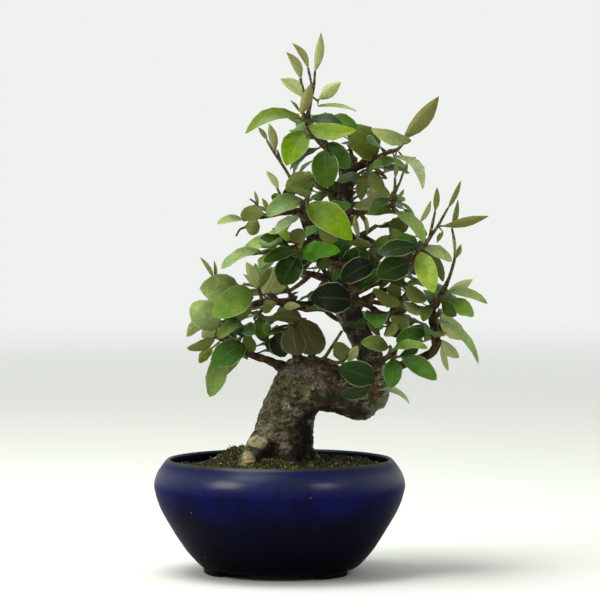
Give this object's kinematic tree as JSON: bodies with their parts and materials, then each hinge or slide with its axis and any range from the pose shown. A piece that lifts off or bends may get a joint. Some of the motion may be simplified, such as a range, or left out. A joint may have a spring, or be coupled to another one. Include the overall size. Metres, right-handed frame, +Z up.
{
  "type": "silverberry bonsai",
  "caption": "Silverberry bonsai with a sharply bent trunk and a full leafy crown, in a round blue-glazed pot with three feet",
  "frame": {"origin": "centre of the whole object's bounding box in X and Y, on the ground plane", "axes": "+X to the viewer's right in the pictured view, +Y away from the viewer, +Z up"},
  "size_m": [0.1392, 0.1058, 0.2261],
  "materials": {
    "glaze": "cobalt-blue stoneware glaze",
    "mesh": "moulded",
    "soil": "damp earth with moss",
    "bark": "grey-brown living bark",
    "foliage": "leathery leaves with silvery scales"
  },
  "bodies": {
    "root": {"pot": "glaze", "drain_mesh": "mesh", "soil": "soil", "trunk": "bark", "branch_left_low": "foliage", "branch_left_mid": "foliage", "branch_shoulder": "foliage", "branch_left_upper": "foliage", "branch_left_high": "foliage", "sprout_front_upper": "foliage", "sprout_front_lower": "foliage", "branch_apex": "foliage", "branch_right_top": "foliage", "branch_right_upper": "foliage", "branch_right_mid": "foliage", "branch_centre_right": "foliage", "branch_right_low": "foliage", "branch_front_right": "foliage", "sprout_elbow": "foliage", "branch_back_low": "foliage", "branch_back_right": "foliage", "branch_back_left": "foliage", "branch_back_mid": "foliage", "branch_back_upper": "foliage"}
  },
  "joints": []
}
